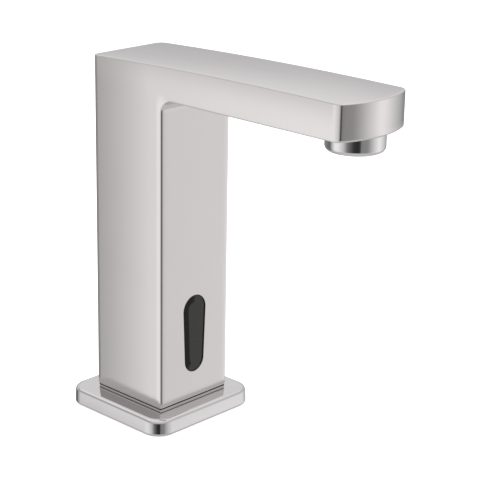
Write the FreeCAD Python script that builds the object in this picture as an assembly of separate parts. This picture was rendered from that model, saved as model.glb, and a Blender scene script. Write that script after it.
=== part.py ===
"""Deck-mounted sensor tap: a hollow cast column with a flat spout, standing on a square flange.

A battery-powered infrared sensor behind the dark window opens a pilot valve inside the column.
Frame: origin at the centre of the column on the deck, +Z up, spout towards -Y. Millimetres.
"""
import FreeCAD, Part
import math
import os

Vector = FreeCAD.Vector

# ---- driving sizes ---------------------------------------------------------------------------

# cast body, heights above the foot of the column
column_width = 45.0
column_depth = 47.4
crown_height = 169.6
spout_depth = 16.9
crown_radius = 2660.0
crown_apex = 119.7
spout_side_length = 151.7
tip_bow = 5.8
rear_corner_radius = 4.0
tip_corner_radius = 5.0
throat_radius = 6.0
lower_edge_radius = 1.3
top_edge_radius = 0.6
foot_edge_radius = 0.8
wall = 3.0
outlet_block_length = 36.9

# flange and deck gasket
flange_side = 65.9
flange_corner_radius = 9.4
flange_height = 8.8
flange_side_crown = 60.0
flange_base_radius = 1.7
flange_edge_radius = 2.0
flange_rim = 3.7
plinth_height = 1.2
plinth_inset = 0.3
gasket_thickness = 3.0

# sensor window, a tapered slot; heights above the foot
window_low_radius = 6.4
window_high_radius = 7.5
window_low_height = 20.1
window_high_height = 45.9
lens_recess = 0.6
lens_rim_width = 1.6
lens_rim_thickness = 1.2
lens_seal_thickness = 0.8

# sensor module
housing_depth = 10.0
housing_wall = 1.2
housing_back = 1.5
housing_margin = 1.0
board_thickness = 1.6
board_standoff = 0.8
board_screw_inset = 4.0
eye_radius = 2.5
eye_length = 5.6
pilot_light_radius = 1.5
baffle_thickness = 1.2
ear_thickness = 2.0
ear_half_height = 4.0
ear_boss_radius = 3.0
ear_boss_length = 6.0
chip_side = 6.0
chip_height = 1.6

# base block that holds the tap to the deck
spigot_half = 15.0
base_plate_thickness = 8.0
tower_height = 16.0
inlet_thread_radius = 4.5
inlet_thread_depth = 13.0
cartridge_bore_radius = 6.05
stud_hole_radius = 2.5
stud_hole_depth = 14.0
stud_spacing = 22.0
stud_row_setback = 9.0
set_screw_radius = 2.5
set_screw_height = 4.0
set_screw_bite = 2.0
set_screw_key = 2.5
set_screw_flats = 6

# inlet filter and non-return valve, stacked in the base tower
filter_flange_thickness = 1.4
filter_cup_radius = 4.0
filter_cup_height = 5.0
filter_wall = 0.6
filter_slots = 12
filter_slot_width = 0.9
check_skirt_height = 5.6
check_seat_thickness = 2.0
check_seat_radius = 3.0
check_chamber_radius = 4.8
check_chamber_height = 6.6
check_guide_thickness = 1.4
check_disc_radius = 4.2
check_disc_thickness = 1.4
check_stem_radius = 1.05
check_stem_overrun = 1.0
check_ports = 6
check_spring_wire = 0.5
check_spring_radius = 2.0
check_spring_turns = 4

# pilot valve
valve_side = 27.0
valve_corner_radius = 3.0
valve_height = 16.0
valve_spigot_length = 4.0
valve_spigot_wall = 1.0
lower_chamber_radius = 8.8
lower_chamber_height = 2.7
feed_bore_radius = 1.3
feed_bore_circle = 7.2
feed_bores = 5
seat_bore_radius = 3.2
seat_lip_radius = 5.4
annulus_radius = 9.4
annulus_depth = 4.5
outlet_axis_drop = 8.4
outlet_bore_radius = 2.6
outlet_arm_wall = 1.6
socket_radius = 5.2
socket_depth = 6.0
diaphragm_thickness = 1.2
diaphragm_radius = 12.2
disc_radius = 5.5
disc_thickness = 2.0
pilot_hole_radius = 0.6
bonnet_thickness = 4.2
bonnet_recess_radius = 9.0
bonnet_recess_depth = 2.4

# solenoid on the pilot valve
plunger_radius = 4.0
plunger_length = 20.0
plunger_stroke = 2.0
plunger_seal_radius = 1.8
plunger_seal_length = 2.0
plunger_bore_radius = 2.6
plunger_bore_depth = 8.0
plunger_spring_radius = 1.9
plunger_spring_wire = 0.5
plunger_spring_turns = 7
guide_wall = 0.55
guide_flange_radius = 6.0
guide_flange_thickness = 1.0
core_stop_length = 7.1
core_cap_thickness = 1.2
bobbin_core_wall = 0.9
bobbin_flange_radius = 9.6
bobbin_flange_thickness = 1.2
bobbin_height = 22.9
winding_radius = 9.0
yoke_width = 12.0
yoke_half_span = 11.2
yoke_thickness = 1.2
clip_radius = 7.0
clip_thickness = 0.8

# water tube
tube_radius = 3.0
tube_bore_radius = 2.2
tube_bend_radius = 14.0
tube_sweep_radius = 60.0
tube_rise = 8.3
tube_straight = 24.0
tube_plug_depth = 11.0

# battery pack above the solenoid
bracket_thickness = 1.5
bracket_width = 14.0
bracket_foot = 9.0
bracket_screw_inset = 3.5
shelf_clearance = 3.5
shelf_depth = 27.0
case_wall = 1.15
case_floor = 2.0
cell_radius = 7.25
cell_length = 50.5
cell_nub_radius = 2.75
cell_nub_length = 1.0
cell_gap = 0.7
contact_radius = 5.0
contact_thickness = 0.4
contact_height = 2.1
contact_tip_radius = 1.7
contact_strip_width = 4.0
cap_thickness = 3.0
cap_seal_thickness = 1.0
cap_seal_width = 1.0
cap_screw_depth = 12.0

# aerator
aerator_radius = 13.2
aerator_drop = 8.2
aerator_tip_distance = 14.4
aerator_thread_radius = 11.45
aerator_thread_length = 4.0
aerator_bore_radius = 9.6
aerator_lip_radius = 8.8
aerator_lip_thickness = 1.5
aerator_edge_radius = 2.4
aerator_inner_edge = 0.5
aerator_washer_thickness = 1.0
aerator_washer_width = 2.7
outlet_chamber_radius = 8.5
outlet_chamber_height = 7.8
insert_height = 9.1
insert_grid_thickness = 2.0
insert_wall = 1.5
insert_hole_radius = 0.75
insert_hole_pitch = 2.2
jet_disc_thickness = 1.4
jet_disc_height = 5.0
jet_holes = 12
jet_hole_radius = 0.6
screen_thickness = 0.4
screen_rise = 0.5

# small screws: M3 everywhere but the set screw
screw_radius = 1.45
screw_head_radius = 2.7
screw_head_height = 2.4
screw_socket_radius = 1.25
screw_depth = 6.0
valve_screw_grip = 8.0

# leads
lead_radius = 0.6
lead_spacing = 1.6
lead_bend_radius = 1.5
lead_inset = 3.0
lead_run = 6.0

# clearances
running_gap = 0.05
thread_gap = 0.05
seat_gap = 0.1
side_gap = 0.3
fit_gap = 1.0
ring_gap = 0.05
tube_seal_section = 1.0
bore_seal_section = 0.8

# ---- places that follow from the sizes -------------------------------------------------------

hole_radius = screw_radius + thread_gap

half_width = column_width / 2
back = column_depth / 2
front = -back
foot = flange_height + plinth_height
crown_top = foot + crown_height
underside = crown_top - spout_depth
tip_side = back - spout_side_length
tip_front = tip_side - tip_bow

inner_half_x = half_width - wall
inner_back = back - wall
inner_front = front + wall
spout_floor = underside + wall
outlet_block_start = tip_front + outlet_block_length

window_low = foot + window_low_height
window_high = foot + window_high_height
window_centre = (window_low + window_high) / 2

lens_seal_y = inner_front
lens_rim_y = lens_seal_y + lens_seal_thickness
housing_y = lens_rim_y + lens_rim_thickness
housing_rear_y = housing_y + housing_depth
board_rear_y = housing_rear_y - housing_back - board_standoff
board_front_y = board_rear_y - board_thickness
housing_half_x = window_high_radius + lens_rim_width + housing_margin
housing_bottom = window_low - window_low_radius - lens_rim_width - housing_margin
housing_top = window_high + window_high_radius + lens_rim_width + housing_margin

pocket_half = housing_half_x - housing_wall
pocket_bottom = housing_bottom + housing_wall
pocket_top = housing_top - housing_wall
coil_lead_x = pocket_half - lead_inset
battery_lead_x = coil_lead_x - lead_inset - fit_gap
lead_top_z = pocket_top - lead_spacing
lead_entries = []
for entry_x in (coil_lead_x, coil_lead_x, battery_lead_x, battery_lead_x):
    lead_entries.append((entry_x, lead_top_z - len(lead_entries) * lead_spacing))

plate_top = foot + base_plate_thickness
tower_top = plate_top + tower_height
valve_half = valve_side / 2
valve_x = -(inner_half_x - fit_gap - valve_half)
valve_y = inner_back - fit_gap - valve_half
valve_top = tower_top + valve_height
screw_offset = valve_half - screw_head_radius - 2 * seat_gap

tube_x = inner_half_x - side_gap - seat_gap - socket_radius
tube_y = inner_back - side_gap - socket_radius
outlet_axis = valve_top - outlet_axis_drop
outlet_turn = math.atan2(tube_y - valve_y, tube_x - valve_x)
outlet_reach = math.hypot(tube_x - valve_x, tube_y - valve_y)
outlet_arm_half = outlet_bore_radius + outlet_arm_wall
socket_floor = valve_top - socket_depth
tube_start = socket_floor + side_gap
tube_axis = underside + tube_rise

aerator_y = tip_front + aerator_tip_distance
aerator_bottom = underside - aerator_drop
aerator_shoulder = underside - seat_gap
thread_top = aerator_shoulder + aerator_thread_length
washer_floor = thread_top + ring_gap
outlet_shoulder = washer_floor + aerator_washer_thickness + ring_gap
outlet_roof = outlet_shoulder + outlet_chamber_height
tube_end = outlet_block_start - tube_plug_depth

bonnet_floor = valve_top + diaphragm_thickness
bonnet_top = bonnet_floor + bonnet_thickness
disc_floor = valve_top + ring_gap
disc_top = disc_floor + disc_thickness
plunger_seal_floor = disc_top + ring_gap
plunger_floor = plunger_seal_floor + plunger_seal_length
plunger_top = plunger_floor + plunger_length
core_stop_floor = plunger_top + plunger_stroke + seat_gap
core_stop_top = core_stop_floor + core_stop_length
guide_radius = plunger_radius + running_gap + guide_wall
guide_floor = bonnet_floor + bonnet_recess_depth + ring_gap
yoke_floor = bonnet_top
bobbin_floor = yoke_floor + yoke_thickness + seat_gap
bobbin_top = bobbin_floor + bobbin_height
yoke_top = bobbin_top + seat_gap + yoke_thickness

shelf = core_stop_top + core_cap_thickness + shelf_clearance
shelf_top = shelf + bracket_thickness
bracket_outer_x = inner_half_x - side_gap
bracket_inner_x = bracket_outer_x - bracket_thickness
bracket_back_y = tube_y - socket_radius - fit_gap
bracket_front_y = bracket_back_y - bracket_width
cell_pitch = 2 * cell_radius + cell_gap
case_half = cell_pitch / 2 + cell_radius + case_wall
case_corner_radius = cell_radius + case_wall
case_x = -(inner_half_x - side_gap - case_half)
case_y = -(inner_back - side_gap - case_half)
cell_floor = shelf_top + case_floor + contact_thickness + contact_height
cell_top = cell_floor + cell_length
case_top = cell_top + contact_height + contact_thickness
cap_floor = case_top + cap_seal_thickness
cap_top = cap_floor + cap_thickness


# ---- shapes ------------------------------------------------------------------------------------

def block(x0, x1, y0, y1, z0, z1):
    """Box between two corners."""
    return Part.makeBox(x1 - x0, y1 - y0, z1 - z0, Vector(x0, y0, z0))


def rod(radius, z0, z1, x=0.0, y=0.0):
    """Upright cylinder."""
    return Part.makeCylinder(radius, z1 - z0, Vector(x, y, z0))


def rod_y(radius, y0, y1, x, z):
    """Cylinder along Y, from y0 up to y1."""
    return Part.makeCylinder(radius, y1 - y0, Vector(x, y0, z), Vector(0, 1, 0))


def tube(outer, inner, z0, z1, x=0.0, y=0.0):
    """Upright round tube."""
    return rod(outer, z0, z1, x, y).cut(rod(inner, z0 - 1, z1 + 1, x, y))


def valve_rod(radius, z0, z1):
    """Cylinder on the axis of the inlet, the valve and the coil."""
    return rod(radius, z0, z1, valve_x, valve_y)


def valve_tube(outer, inner, z0, z1):
    """Round tube on the axis of the inlet, the valve and the coil."""
    return tube(outer, inner, z0, z1, valve_x, valve_y)


def outlet_rod(radius, z0, z1):
    """Cylinder on the aerator's axis."""
    return rod(radius, z0, z1, 0, aerator_y)


def rounded_wire(half_x, half_y, radius, z, x=0.0, y=0.0):
    """Rectangle with round corners, as four lines and four arcs."""
    edges = []
    corners = ((1, -1), (1, 1), (-1, 1), (-1, -1))
    points = []
    for number, (sign_x, sign_y) in enumerate(corners):
        centre = Vector(x + sign_x * (half_x - radius), y + sign_y * (half_y - radius), z)
        start = math.radians(-90 + 90 * number)
        trio = []
        for share in (0.0, 0.5, 1.0):
            angle = start + share * math.pi / 2
            trio.append(centre + Vector(radius * math.cos(angle), radius * math.sin(angle), 0))
        points.append(trio)
    for number, trio in enumerate(points):
        edges.append(Part.Arc(*trio).toShape())
        edges.append(Part.makeLine(trio[2], points[(number + 1) % 4][0]))
    return Part.Wire(edges)


def rounded_block(half_x, half_y, radius, z0, z1, x=0.0, y=0.0):
    """Upright block with round vertical corners."""
    face = Part.Face(rounded_wire(half_x, half_y, radius, z0, x, y))
    return face.extrude(Vector(0, 0, z1 - z0))


def tapered_slot(offset, y0, y1):
    """The window's outline grown by offset, extruded along Y: two round ends and their tangents."""
    low = window_low_radius + offset
    high = window_high_radius + offset
    lean = math.asin((high - low) / (window_high - window_low))
    side = Vector(math.cos(lean), 0, -math.sin(lean))
    mirror = Vector(-side.x, 0, side.z)
    low_centre = Vector(0, y0, window_low)
    high_centre = Vector(0, y0, window_high)
    low_end = low_centre + Vector(0, 0, -low)
    high_end = high_centre + Vector(0, 0, high)
    edges = [
        Part.Arc(low_centre + mirror * low, low_end, low_centre + side * low).toShape(),
        Part.makeLine(low_centre + side * low, high_centre + side * high),
        Part.Arc(high_centre + side * high, high_end, high_centre + mirror * high).toShape(),
        Part.makeLine(high_centre + mirror * high, low_centre + mirror * low),
    ]
    return Part.Face(Part.Wire(edges)).extrude(Vector(0, y1 - y0, 0))


def o_ring(radius, section, z, x, y):
    """Round seal about an upright axis; radius is to the middle of its section."""
    return Part.makeTorus(radius, section / 2, Vector(x, y, z), Vector(0, 0, 1))


def groove(inner, outer, section, z, x, y):
    """Ring to cut for a round seal, a little taller than the seal's section."""
    half = section / 2 + ring_gap
    return tube(outer, inner, z - half, z + half, x, y)


def spring(radius, wire, turns, z0, z1, x, y):
    """Open coil spring about an upright axis, its ends at z0 and z1.

    Each half turn is a piece of torus. They lean to and fro in turn, so that they meet square.
    """
    halves = []
    rise = (z1 - z0 - wire) / (2 * turns)
    for number in range(2 * turns):
        side = 1 if number % 2 == 0 else -1
        start_z = z0 + wire / 2 + number * rise
        start = Vector(x + side * radius, y, start_z)
        middle = Vector(x, y, start_z + rise / 2)
        section = Part.Face(Part.Wire(Part.makeCircle(wire / 2, start, Vector(0, 1, 0))))
        halves.append(section.revolve(middle, Vector(side * rise, 0, 2 * radius), 180))
    return halves[0].multiFuse(halves[1:])


def rounded_path(points, radii):
    """Wire along straight runs, with a tangent arc of the given radius at each inner point."""
    edges = []
    start = points[0]
    for before, corner, after, radius in zip(points, points[1:], points[2:], radii):
        way_in = (corner - before).normalize()
        way_out = (after - corner).normalize()
        turn = way_in.getAngle(way_out)
        setback = radius * math.tan(turn / 2)
        arc_start = corner - way_in * setback
        arc_end = corner + way_out * setback
        middle = (way_out - way_in).normalize()
        arc_middle = corner + middle * (radius / math.cos(turn / 2) - radius)
        edges.append(Part.makeLine(start, arc_start))
        edges.append(Part.Arc(arc_start, arc_middle, arc_end).toShape())
        start = arc_end
    edges.append(Part.makeLine(start, points[-1]))
    return Part.Wire(edges)


def pipe(points, radii, radius):
    """Round rod swept along a rounded path."""
    path = rounded_path(points, radii)
    direction = points[1] - points[0]
    circle = Part.Wire(Part.makeCircle(radius, points[0], direction))
    return path.makePipeShell([circle], True, False)


def cap_screw(z_seat, depth, x, y):
    """Socket screw driven downwards: head above z_seat, shank below it."""
    screw = rod(screw_radius, z_seat - depth, z_seat, x, y)
    screw = screw.fuse(rod(screw_head_radius, z_seat, z_seat + screw_head_height, x, y))
    socket = rod(screw_socket_radius, z_seat + screw_head_height / 2, z_seat + screw_head_height + 1, x, y)
    return screw.cut(socket).removeSplitter()


def crown_z(y, inset=0.0):
    """Height of the crowned top at y, lowered square to itself by inset."""
    radius = crown_radius - inset
    centre_y = back - crown_apex
    return crown_top - crown_radius + math.sqrt(radius ** 2 - (y - centre_y) ** 2)


def crown_arc(y0, y1, x, inset=0.0):
    """The crowned top as an arc in the plane at x."""
    middle = (y0 + y1) / 2
    trio = [Vector(x, y, crown_z(y, inset)) for y in (y0, middle, y1)]
    return Part.Arc(*trio).toShape()


def edges_where(shape, test):
    """Edges whose every sampled point passes the test."""
    chosen = []
    for edge in shape.Edges:
        samples = edge.discretize(5)
        if all(test(point) for point in samples):
            chosen.append(edge)
    return chosen


def near(value, target):
    return abs(value - target) < tolerance


tolerance = 0.01
parts = {}

# ---- cast body -----------------------------------------------------------------------------------

def body_profile():
    """Side view of the casting: column, throat, spout and crowned top."""
    x = -half_width
    far = tip_front - wall
    throat = throat_radius * (1 - math.sqrt(0.5))
    throat_low = Vector(x, front, underside - throat_radius)
    throat_mid = Vector(x, front - throat, underside - throat)
    throat_high = Vector(x, front - throat_radius, underside)
    spout_end = Vector(x, far, underside)
    edges = [
        Part.makeLine(Vector(x, back, foot), Vector(x, front, foot)),
        Part.makeLine(Vector(x, front, foot), throat_low),
        Part.Arc(throat_low, throat_mid, throat_high).toShape(),
        Part.makeLine(throat_high, spout_end),
        Part.makeLine(spout_end, Vector(x, far, crown_z(far))),
        crown_arc(far, back, x),
        Part.makeLine(Vector(x, back, crown_z(back)), Vector(x, back, foot)),
    ]
    return Part.Face(Part.Wire(edges)).extrude(Vector(column_width, 0, 0))


def body_plan():
    """Plan view of the casting, with its bowed tip, as a tall prism."""
    left_tip = Vector(-half_width, tip_side, 0)
    right_tip = Vector(half_width, tip_side, 0)
    left_back = Vector(-half_width, back, 0)
    right_back = Vector(half_width, back, 0)
    edges = [
        Part.makeLine(left_back, left_tip),
        Part.Arc(left_tip, Vector(0, tip_front, 0), right_tip).toShape(),
        Part.makeLine(right_tip, right_back),
        Part.makeLine(right_back, left_back),
    ]
    prism = Part.Face(Part.Wire(edges)).extrude(Vector(0, 0, 2 * crown_top))
    upright_tip = edges_where(prism, lambda p: near(abs(p.x), half_width) and near(p.y, tip_side))
    prism = prism.makeFillet(tip_corner_radius, upright_tip)
    upright_back = edges_where(prism, lambda p: near(abs(p.x), half_width) and near(p.y, back))
    return prism.makeFillet(rear_corner_radius, upright_back)


def body_cavity():
    """Hollow of the column and spout, one wall inside the casting, open at the foot."""
    x = -inner_half_x
    points = [
        Vector(x, inner_back, foot - 1),
        Vector(x, inner_front, foot - 1),
        Vector(x, inner_front, spout_floor),
        Vector(x, outlet_block_start, spout_floor),
        Vector(x, outlet_block_start, crown_z(outlet_block_start, wall)),
    ]
    edges = [Part.makeLine(a, b) for a, b in zip(points, points[1:])]
    edges.append(crown_arc(outlet_block_start, inner_back, x, wall))
    edges.append(Part.makeLine(Vector(x, inner_back, crown_z(inner_back, wall)), points[0]))
    return Part.Face(Part.Wire(edges)).extrude(Vector(2 * inner_half_x, 0, 0))


def ear_bosses():
    """Two bosses inside the front wall that take the sensor housing's screws."""
    bosses = []
    for side in (-1, 1):
        x = side * ear_x
        boss = rod_y(ear_boss_radius, inner_front, ear_y, x, window_centre)
        bosses.append(boss.cut(rod_y(hole_radius, inner_front + seat_gap, ear_y + 1, x, window_centre)))
    return bosses


ear_x = inner_half_x - fit_gap - ear_boss_radius
ear_y = inner_front + ear_boss_length

outer = body_profile().common(body_plan())


def on_lower_run(p):
    """True on the front corners of the column, the throat and the spout's lower edge."""
    sides = near(abs(p.x), half_width)
    column = near(p.y, front) and p.z < underside - throat_radius + tolerance
    throat_centre = Vector(p.x, front - throat_radius, underside - throat_radius)
    throat = near((p - throat_centre).Length, throat_radius) and p.y > front - throat_radius - tolerance
    lower = near(p.z, underside)
    return (sides and (column or throat)) or (lower and p.y < front - throat_radius + tolerance)


throat_line = Vector(0, front - throat_radius, underside)
lower_run = [e for e in edges_where(outer, on_lower_run) if not near(e.CenterOfMass.y, throat_line.y)]
outer = outer.makeFillet(lower_edge_radius, lower_run)
top_run = edges_where(outer, lambda p: near(p.z, crown_z(p.y)))
outer = outer.makeFillet(top_edge_radius, top_run)
foot_run = edges_where(outer, lambda p: near(p.z, foot))
outer = outer.makeFillet(foot_edge_radius, foot_run)

body = outer.cut(body_cavity())
body = body.cut(tapered_slot(0.0, front - 1, inner_front + 1))
body = body.multiFuse(ear_bosses())
body = body.cut(outlet_rod(aerator_thread_radius + thread_gap, underside - 1, outlet_shoulder))
body = body.cut(outlet_rod(outlet_chamber_radius, outlet_shoulder - 1, outlet_roof))
body = body.cut(rod_y(tube_radius + running_gap, aerator_y, outlet_block_start + 1, 0, tube_axis))
ring_seat_y = outlet_block_start - tube_plug_depth / 2
groove_half = tube_seal_section / 2 + ring_gap
body = body.cut(rod_y(tube_radius + tube_seal_section, ring_seat_y - groove_half, ring_seat_y + groove_half,
                      0, tube_axis))
set_screw_z = foot + set_screw_height
body = body.cut(rod_y(set_screw_radius + thread_gap, inner_back - 1, back + 1, 0, set_screw_z))
parts["body"] = body.removeSplitter()

# ---- flange and deck gasket ------------------------------------------------------------------------

flange_half = flange_side / 2
corner_axis = flange_half - flange_corner_radius


def flange_section():
    """Section through the flange's crowned side, from the axis of a corner to the rim."""
    rim = flange_corner_radius
    rise = flange_height - flange_base_radius
    base_share = flange_base_radius * (1 - math.sqrt(0.5))

    def on_side(height):
        crown_in = flange_side_crown - math.sqrt(flange_side_crown ** 2 - height ** 2)
        return Vector(rim - crown_in, 0, flange_base_radius + height)

    base_start = Vector(rim - flange_base_radius, 0, 0)
    base_mid = Vector(rim - base_share, 0, base_share)
    base_end = Vector(rim, 0, flange_base_radius)
    edges = [
        Part.makeLine(Vector(0, 0, 0), base_start),
        Part.Arc(base_start, base_mid, base_end).toShape(),
        Part.Arc(base_end, on_side(rise / 2), on_side(rise)).toShape(),
        Part.makeLine(on_side(rise), Vector(0, 0, flange_height)),
        Part.makeLine(Vector(0, 0, flange_height), Vector(0, 0, 0)),
    ]
    return Part.Face(Part.Wire(edges))


def flange_quarter(turn):
    """One side and one corner of the flange, turned about the column's axis."""
    side = flange_section()
    side.translate(Vector(corner_axis, -corner_axis, 0))
    corner = side.translated(Vector(0, 2 * corner_axis, 0))
    axis = Vector(corner_axis, corner_axis, 0)
    corner = corner.revolve(axis, Vector(0, 0, 1), 90)
    quarter = side.extrude(Vector(0, 2 * corner_axis, 0)).fuse(corner)
    return quarter.rotated(Vector(0, 0, 0), Vector(0, 0, 1), turn)


flange = block(-corner_axis, corner_axis, -corner_axis, corner_axis, 0, flange_height)
flange = flange.multiFuse([flange_quarter(turn) for turn in (0, 90, 180, 270)]).removeSplitter()
flange = flange.makeFillet(flange_edge_radius, edges_where(flange, lambda p: near(p.z, flange_height)))
plinth_x = half_width - plinth_inset
plinth_y = back - plinth_inset
plinth = block(-plinth_x, plinth_x, -plinth_y, plinth_y, flange_height / 2, foot)
upright_rear = edges_where(plinth, lambda p: near(abs(p.x), plinth_x) and near(p.y, plinth_y))
plinth = plinth.makeFillet(rear_corner_radius - plinth_inset, upright_rear)
upright_front = edges_where(plinth, lambda p: near(abs(p.x), plinth_x) and near(p.y, -plinth_y))
plinth = plinth.makeFillet(lower_edge_radius - plinth_inset, upright_front)
flange = flange.fuse(plinth)
opening_half = spigot_half + side_gap
recess_half = flange_half - flange_rim
recess_radius = flange_corner_radius - flange_rim
flange = flange.cut(rounded_block(recess_half, recess_half, recess_radius, -1, gasket_thickness))
flange = flange.cut(rounded_block(opening_half, opening_half, 2 * side_gap, -1, foot + 1))
parts["flange"] = flange

gasket_half = recess_half - side_gap
gasket = rounded_block(gasket_half, gasket_half, recess_radius, 0, gasket_thickness)
gasket_hole = opening_half + side_gap
parts["deck_gasket"] = gasket.cut(rounded_block(gasket_hole, gasket_hole, side_gap, -1, gasket_thickness + 1))

# ---- base block ------------------------------------------------------------------------------------

base = rounded_block(spigot_half, spigot_half, side_gap, 0, foot + seat_gap)
base = base.fuse(rounded_block(inner_half_x - side_gap, inner_back - side_gap, fit_gap, foot, plate_top))
tower = rounded_block(valve_half, valve_half, valve_corner_radius, plate_top, tower_top, valve_x, valve_y)
base = base.fuse(tower)
base = base.cut(valve_rod(inlet_thread_radius, -1, inlet_thread_depth + 1))
base = base.cut(valve_rod(cartridge_bore_radius, inlet_thread_depth, tower_top + 1))
for side in (-1, 1):
    base = base.cut(rod(stud_hole_radius, -1, stud_hole_depth, side * stud_spacing / 2, -stud_row_setback))
dimple_y = inner_back - side_gap - set_screw_bite
base = base.cut(rod_y(set_screw_radius + seat_gap, dimple_y - seat_gap, inner_back, 0, set_screw_z))
bracket_screw_x = (bracket_inner_x + valve_x + valve_half) / 2
bracket_screw_ys = (bracket_front_y + bracket_screw_inset, bracket_back_y - bracket_screw_inset)
for y in bracket_screw_ys:
    base = base.cut(rod(hole_radius, plate_top - screw_depth, plate_top + 1, bracket_screw_x, y))
valve_screws = []
for sign_x in (-1, 1):
    for sign_y in (-1, 1):
        valve_screws.append((valve_x + sign_x * screw_offset, valve_y + sign_y * screw_offset))
for x, y in valve_screws:
    base = base.cut(rod(hole_radius, tower_top - valve_screw_grip - 1, tower_top + 1, x, y))
parts["base_block"] = base.removeSplitter()

set_screw = rod_y(set_screw_radius, dimple_y, back - seat_gap, 0, set_screw_z)
key_radius = set_screw_key / math.sqrt(3)
hexagon = []
for corner in range(set_screw_flats + 1):
    angle = 2 * math.pi * corner / set_screw_flats
    hexagon.append(Vector(key_radius * math.cos(angle), back, set_screw_z + key_radius * math.sin(angle)))
hex_socket = Part.Face(Part.makePolygon(hexagon)).extrude(Vector(0, -set_screw_radius, 0))
parts["body_set_screw"] = set_screw.cut(hex_socket)

# ---- sensor window and module ------------------------------------------------------------------------

lens = tapered_slot(-seat_gap, front + lens_recess, lens_rim_y + seat_gap)
parts["sensor_window"] = lens.fuse(tapered_slot(lens_rim_width, lens_rim_y, housing_y)).removeSplitter()
seal = tapered_slot(lens_rim_width, lens_seal_y, lens_rim_y)
parts["window_seal"] = seal.cut(tapered_slot(seat_gap, lens_seal_y - 1, lens_rim_y + 1))

housing = block(-housing_half_x, housing_half_x, housing_y, housing_rear_y, housing_bottom, housing_top)
housing = housing.cut(block(-pocket_half, pocket_half, housing_y - 1, housing_rear_y - housing_back,
                            pocket_bottom, pocket_top))
baffle_half_x = pocket_half + seat_gap
housing = housing.fuse(block(-baffle_half_x, baffle_half_x, housing_y, board_front_y - side_gap,
                             window_centre - baffle_thickness / 2, window_centre + baffle_thickness / 2))
for side in (-1, 1):
    x0, x1 = sorted((side * (housing_half_x - seat_gap), side * (ear_x + ear_boss_radius)))
    ear = block(x0, x1, ear_y, ear_y + ear_thickness,
                window_centre - ear_half_height, window_centre + ear_half_height)
    ear_hole = rod_y(hole_radius, ear_y - 1, ear_y + ear_thickness + 1, side * ear_x, window_centre)
    housing = housing.fuse(ear).cut(ear_hole)
board_screw_zs = (pocket_bottom + board_screw_inset, pocket_top - board_screw_inset)
board_screw_x = -pocket_half + board_screw_inset
for z in board_screw_zs:
    post = rod_y(2 * hole_radius, board_rear_y, housing_rear_y, board_screw_x, z)
    post_hole = rod_y(hole_radius, board_rear_y - 1, housing_rear_y + 1, board_screw_x, z)
    housing = housing.fuse(post).cut(post_hole)
for x, z in lead_entries:
    lead_hole = rod_y(lead_radius + seat_gap, housing_rear_y - housing_back - 1, housing_rear_y + 1, x, z)
    housing = housing.cut(lead_hole)
parts["sensor_housing"] = housing.removeSplitter()

ear_screws = []
for side in (-1, 1):
    y = ear_y + ear_thickness
    shank = rod_y(screw_radius, y - ear_thickness - screw_depth / 2, y, side * ear_x, window_centre)
    head = rod_y(screw_head_radius, y, y + screw_head_height, side * ear_x, window_centre)
    socket_y = y + screw_head_height / 2
    socket = rod_y(screw_socket_radius, socket_y, y + screw_head_height + 1, side * ear_x, window_centre)
    ear_screws.append(shank.fuse(head).cut(socket).removeSplitter())
parts["housing_screws"] = Part.makeCompound(ear_screws)

board_half = pocket_half - side_gap
board = block(-board_half, board_half, board_front_y, board_rear_y,
              pocket_bottom + side_gap, pocket_top - side_gap)
for z in board_screw_zs:
    board = board.cut(rod_y(hole_radius, board_front_y - 1, board_rear_y + 1, board_screw_x, z))
parts["circuit_board"] = board

board_screws = []
for z in board_screw_zs:
    head_y = board_front_y - screw_head_height / 2
    shank_end = housing_rear_y - housing_back / 2
    shank = rod_y(screw_radius, board_front_y, shank_end, board_screw_x, z)
    head = rod_y(screw_head_radius, head_y, board_front_y, board_screw_x, z)
    board_screws.append(shank.fuse(head).removeSplitter())
parts["board_screws"] = Part.makeCompound(board_screws)


def eye(radius, length, x, z):
    """Round-nosed electronic component standing on the board's front, pointing at the window."""
    nose = Part.makeSphere(radius, Vector(x, board_front_y - length + radius, z))
    return rod_y(radius, board_front_y - length + radius, board_front_y, x, z).fuse(nose).removeSplitter()


parts["ir_emitter"] = eye(eye_radius, eye_length, 0, window_high)
parts["ir_receiver"] = eye(eye_radius, eye_length, 0, window_low)
pilot_light_z = window_centre + baffle_thickness / 2 + pilot_light_radius + fit_gap
pilot_light_x = pocket_half - 2 * pilot_light_radius
parts["indicator_light"] = eye(pilot_light_radius, eye_length - fit_gap, pilot_light_x, pilot_light_z)
chip_z = window_centre - baffle_thickness / 2 - fit_gap
parts["control_chip"] = block(-chip_side / 2, chip_side / 2, board_front_y - chip_height, board_front_y,
                              chip_z - chip_side, chip_z)

# ---- inlet filter and non-return valve -------------------------------------------------------------------

filter_floor = inlet_thread_depth
filter_top = filter_floor + filter_flange_thickness
cup_top = filter_top + filter_cup_height
strainer = valve_rod(cartridge_bore_radius - running_gap, filter_floor, filter_top)
strainer = strainer.fuse(valve_rod(filter_cup_radius, filter_top, cup_top))
strainer = strainer.cut(valve_rod(filter_cup_radius - filter_wall, filter_floor - 1, cup_top - filter_wall))
for number in range(filter_slots // 2):
    slot = block(-filter_cup_radius - 1, filter_cup_radius + 1, -filter_slot_width / 2, filter_slot_width / 2,
                 filter_top + filter_wall, cup_top - 2 * filter_wall)
    slot.rotate(Vector(0, 0, 0), Vector(0, 0, 1), 360.0 / filter_slots * number)
    slot.translate(Vector(valve_x, valve_y, 0))
    strainer = strainer.cut(slot)
parts["inlet_filter"] = strainer

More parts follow.
